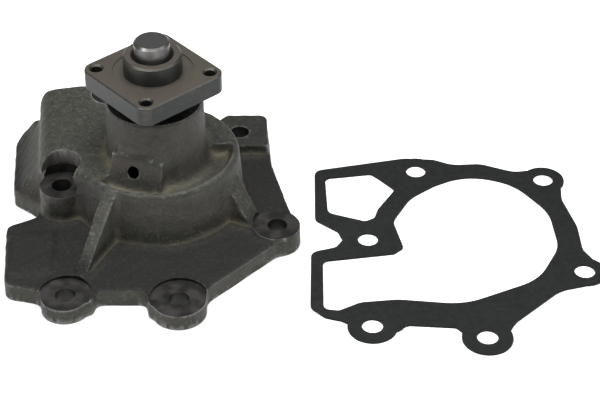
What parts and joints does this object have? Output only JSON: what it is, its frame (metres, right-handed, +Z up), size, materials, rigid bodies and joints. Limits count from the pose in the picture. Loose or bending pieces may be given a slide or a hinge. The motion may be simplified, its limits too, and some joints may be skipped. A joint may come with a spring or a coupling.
{
  "type": "coolant pump",
  "caption": "Belt-driven engine coolant pump with a cast housing, square drive hub, shaft bearing, shaft seal and impeller, and its loose mounting gasket.",
  "frame": {"origin": "where the shaft axis meets the plane of the mounting face", "axes": "+Z up the shaft from the mounting face to the drive hub, +X to the pump's right, -Y to its front, where the weep hole faces"},
  "size_m": [0.2708, 0.158, 0.0924],
  "materials": {
    "cast_iron_housing": "as-cast, dark, machined seats",
    "machined_steel": "turned, lightly oiled",
    "ground_shaft": "ground",
    "bearing_steel": "ground",
    "bright_balls": "polished",
    "cage_polymer": "moulded",
    "seal_rubber": "matte",
    "seal_brass": "pressed sheet",
    "seal_carbon": "lapped carbon",
    "seal_ceramic": "lapped",
    "spring_wire": "drawn wire",
    "impeller_iron": "as-cast",
    "gasket_fibre": "matte coated fibre sheet"
  },
  "bodies": {
    "pump_body": {"housing": "cast_iron_housing", "bearing_outer_ring": "bearing_steel", "front_bearing_seal": "seal_rubber", "rear_bearing_seal": "seal_rubber", "seal_case": "seal_brass", "seal_bellows": "seal_rubber", "seal_spring": "spring_wire", "seal_ring_holder": "seal_brass", "seal_carbon_ring": "seal_carbon"},
    "rotor": {"pump_shaft": "ground_shaft", "drive_hub": "machined_steel", "impeller": "impeller_iron", "mating_ring": "seal_ceramic", "mating_ring_boot": "seal_rubber", "slinger": "machined_steel"},
    "ball_train": {"bearing_balls": "bright_balls", "ball_cage": "cage_polymer"},
    "roller_train": {"bearing_rollers": "bearing_steel", "roller_cage": "cage_polymer"},
    "loose_gasket": {"gasket": "gasket_fibre"}
  },
  "joints": [
    {"name": "shaft_spin", "type": "hinge", "parent": "pump_body", "child": "rotor", "pos_m": [0, 0, 0.05], "axis": [0, 0, 1], "continuous": true},
    {"name": "ball_cage_spin", "type": "hinge", "parent": "pump_body", "child": "ball_train", "pos_m": [0, 0, 0.0416], "axis": [0, 0, 1], "continuous": true},
    {"name": "roller_cage_spin", "type": "hinge", "parent": "pump_body", "child": "roller_train", "pos_m": [0, 0, 0.0531], "axis": [0, 0, 1], "continuous": true},
    {"name": "gasket_lift", "type": "slide", "parent": "pump_body", "child": "loose_gasket", "axis": [0, 0, 1], "range_m": [0, 0.12]}
  ],
  "couplings": [
    {"joint": "ball_cage_spin", "follows": "shaft_spin", "ratio": 0.365},
    {"joint": "roller_cage_spin", "follows": "shaft_spin", "ratio": 0.392}
  ]
}
